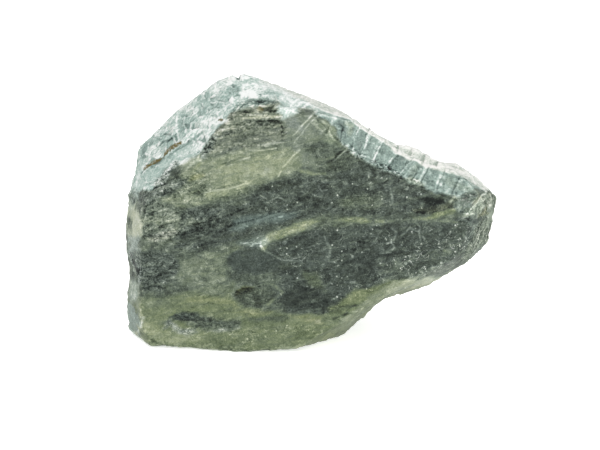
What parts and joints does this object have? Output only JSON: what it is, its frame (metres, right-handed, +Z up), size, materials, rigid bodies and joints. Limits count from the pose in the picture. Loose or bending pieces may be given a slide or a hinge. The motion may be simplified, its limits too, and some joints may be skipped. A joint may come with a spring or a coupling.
{
  "type": "raw soapstone",
  "caption": "Raw lump of green soapstone, split on flat cleavage faces with chipped edges, standing on its flat base.",
  "frame": {"origin": "middle of the lump's bounding box, on the surface that its base stands on", "axes": "+X along the widest side, towards the pointed end; +Z up; the dark cleaved main face looks along -Y"},
  "size_m": [0.1998, 0.0922, 0.1405],
  "materials": {
    "soapstone": "raw split talc rock: waxy dark green faces with pale green veins, matte bruised edges"
  },
  "bodies": {
    "root": {"soapstone": "soapstone"}
  },
  "joints": []
}
